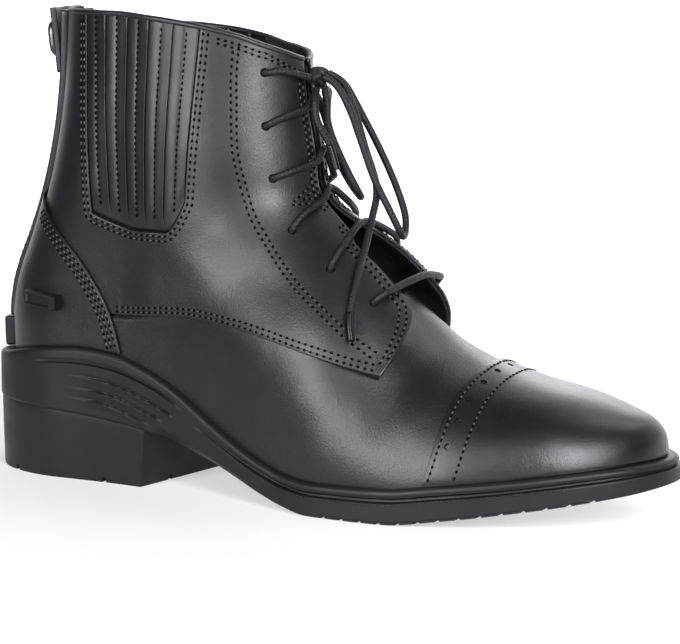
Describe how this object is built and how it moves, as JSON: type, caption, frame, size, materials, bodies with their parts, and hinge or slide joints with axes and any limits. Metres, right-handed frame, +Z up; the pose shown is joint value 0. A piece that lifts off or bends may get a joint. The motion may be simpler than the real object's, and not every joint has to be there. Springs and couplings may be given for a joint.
{
  "type": "jodhpur boot",
  "caption": "Right black leather jodhpur boot with laced front and bow, toe cap, pleated elastic gores, back zip with snap tab, spur rests and a moulded sole with block heel.",
  "frame": {"origin": "middle of the heel's walking face, on the floor", "axes": "+X from heel to toe, +Y to the medial side, +Z up"},
  "size_m": [0.2865, 0.0979, 0.1842],
  "materials": {
    "black_leather": "smooth, satin",
    "black_rubber": "moulded, satin",
    "dark_lining": "soft, matte",
    "black_elastic": "pleated, matte",
    "dark_metal": "darkened, satin",
    "waxed_cord": "waxed round cord"
  },
  "bodies": {
    "root": {"upper": "black_leather", "tongue": "black_leather", "toe_cap": "black_leather", "counter_lateral": "black_leather", "counter_medial": "black_leather", "zip_lip_lateral": "black_leather", "zip_lip_medial": "black_leather", "snap_tab": "black_leather", "outsole": "black_rubber", "heel": "black_rubber", "spur_rest_lateral": "black_rubber", "spur_rest_medial": "black_rubber", "spur_rest_back": "black_rubber", "insole": "dark_lining", "gore_lateral": "black_elastic", "gore_medial": "black_elastic", "zip_chain": "dark_metal", "zip_slider": "dark_metal", "snap": "dark_metal", "lace_bar": "waxed_cord", "lace_crossing_1": "waxed_cord", "lace_crossing_2": "waxed_cord", "lace_crossing_3": "waxed_cord", "lace_crossing_4": "waxed_cord", "lace_top_lateral": "waxed_cord", "lace_top_medial": "waxed_cord", "lace_knot": "waxed_cord", "lace_loop_front": "waxed_cord", "lace_end_front": "waxed_cord", "lace_loop_side": "waxed_cord", "lace_end_side": "waxed_cord"}
  },
  "joints": []
}
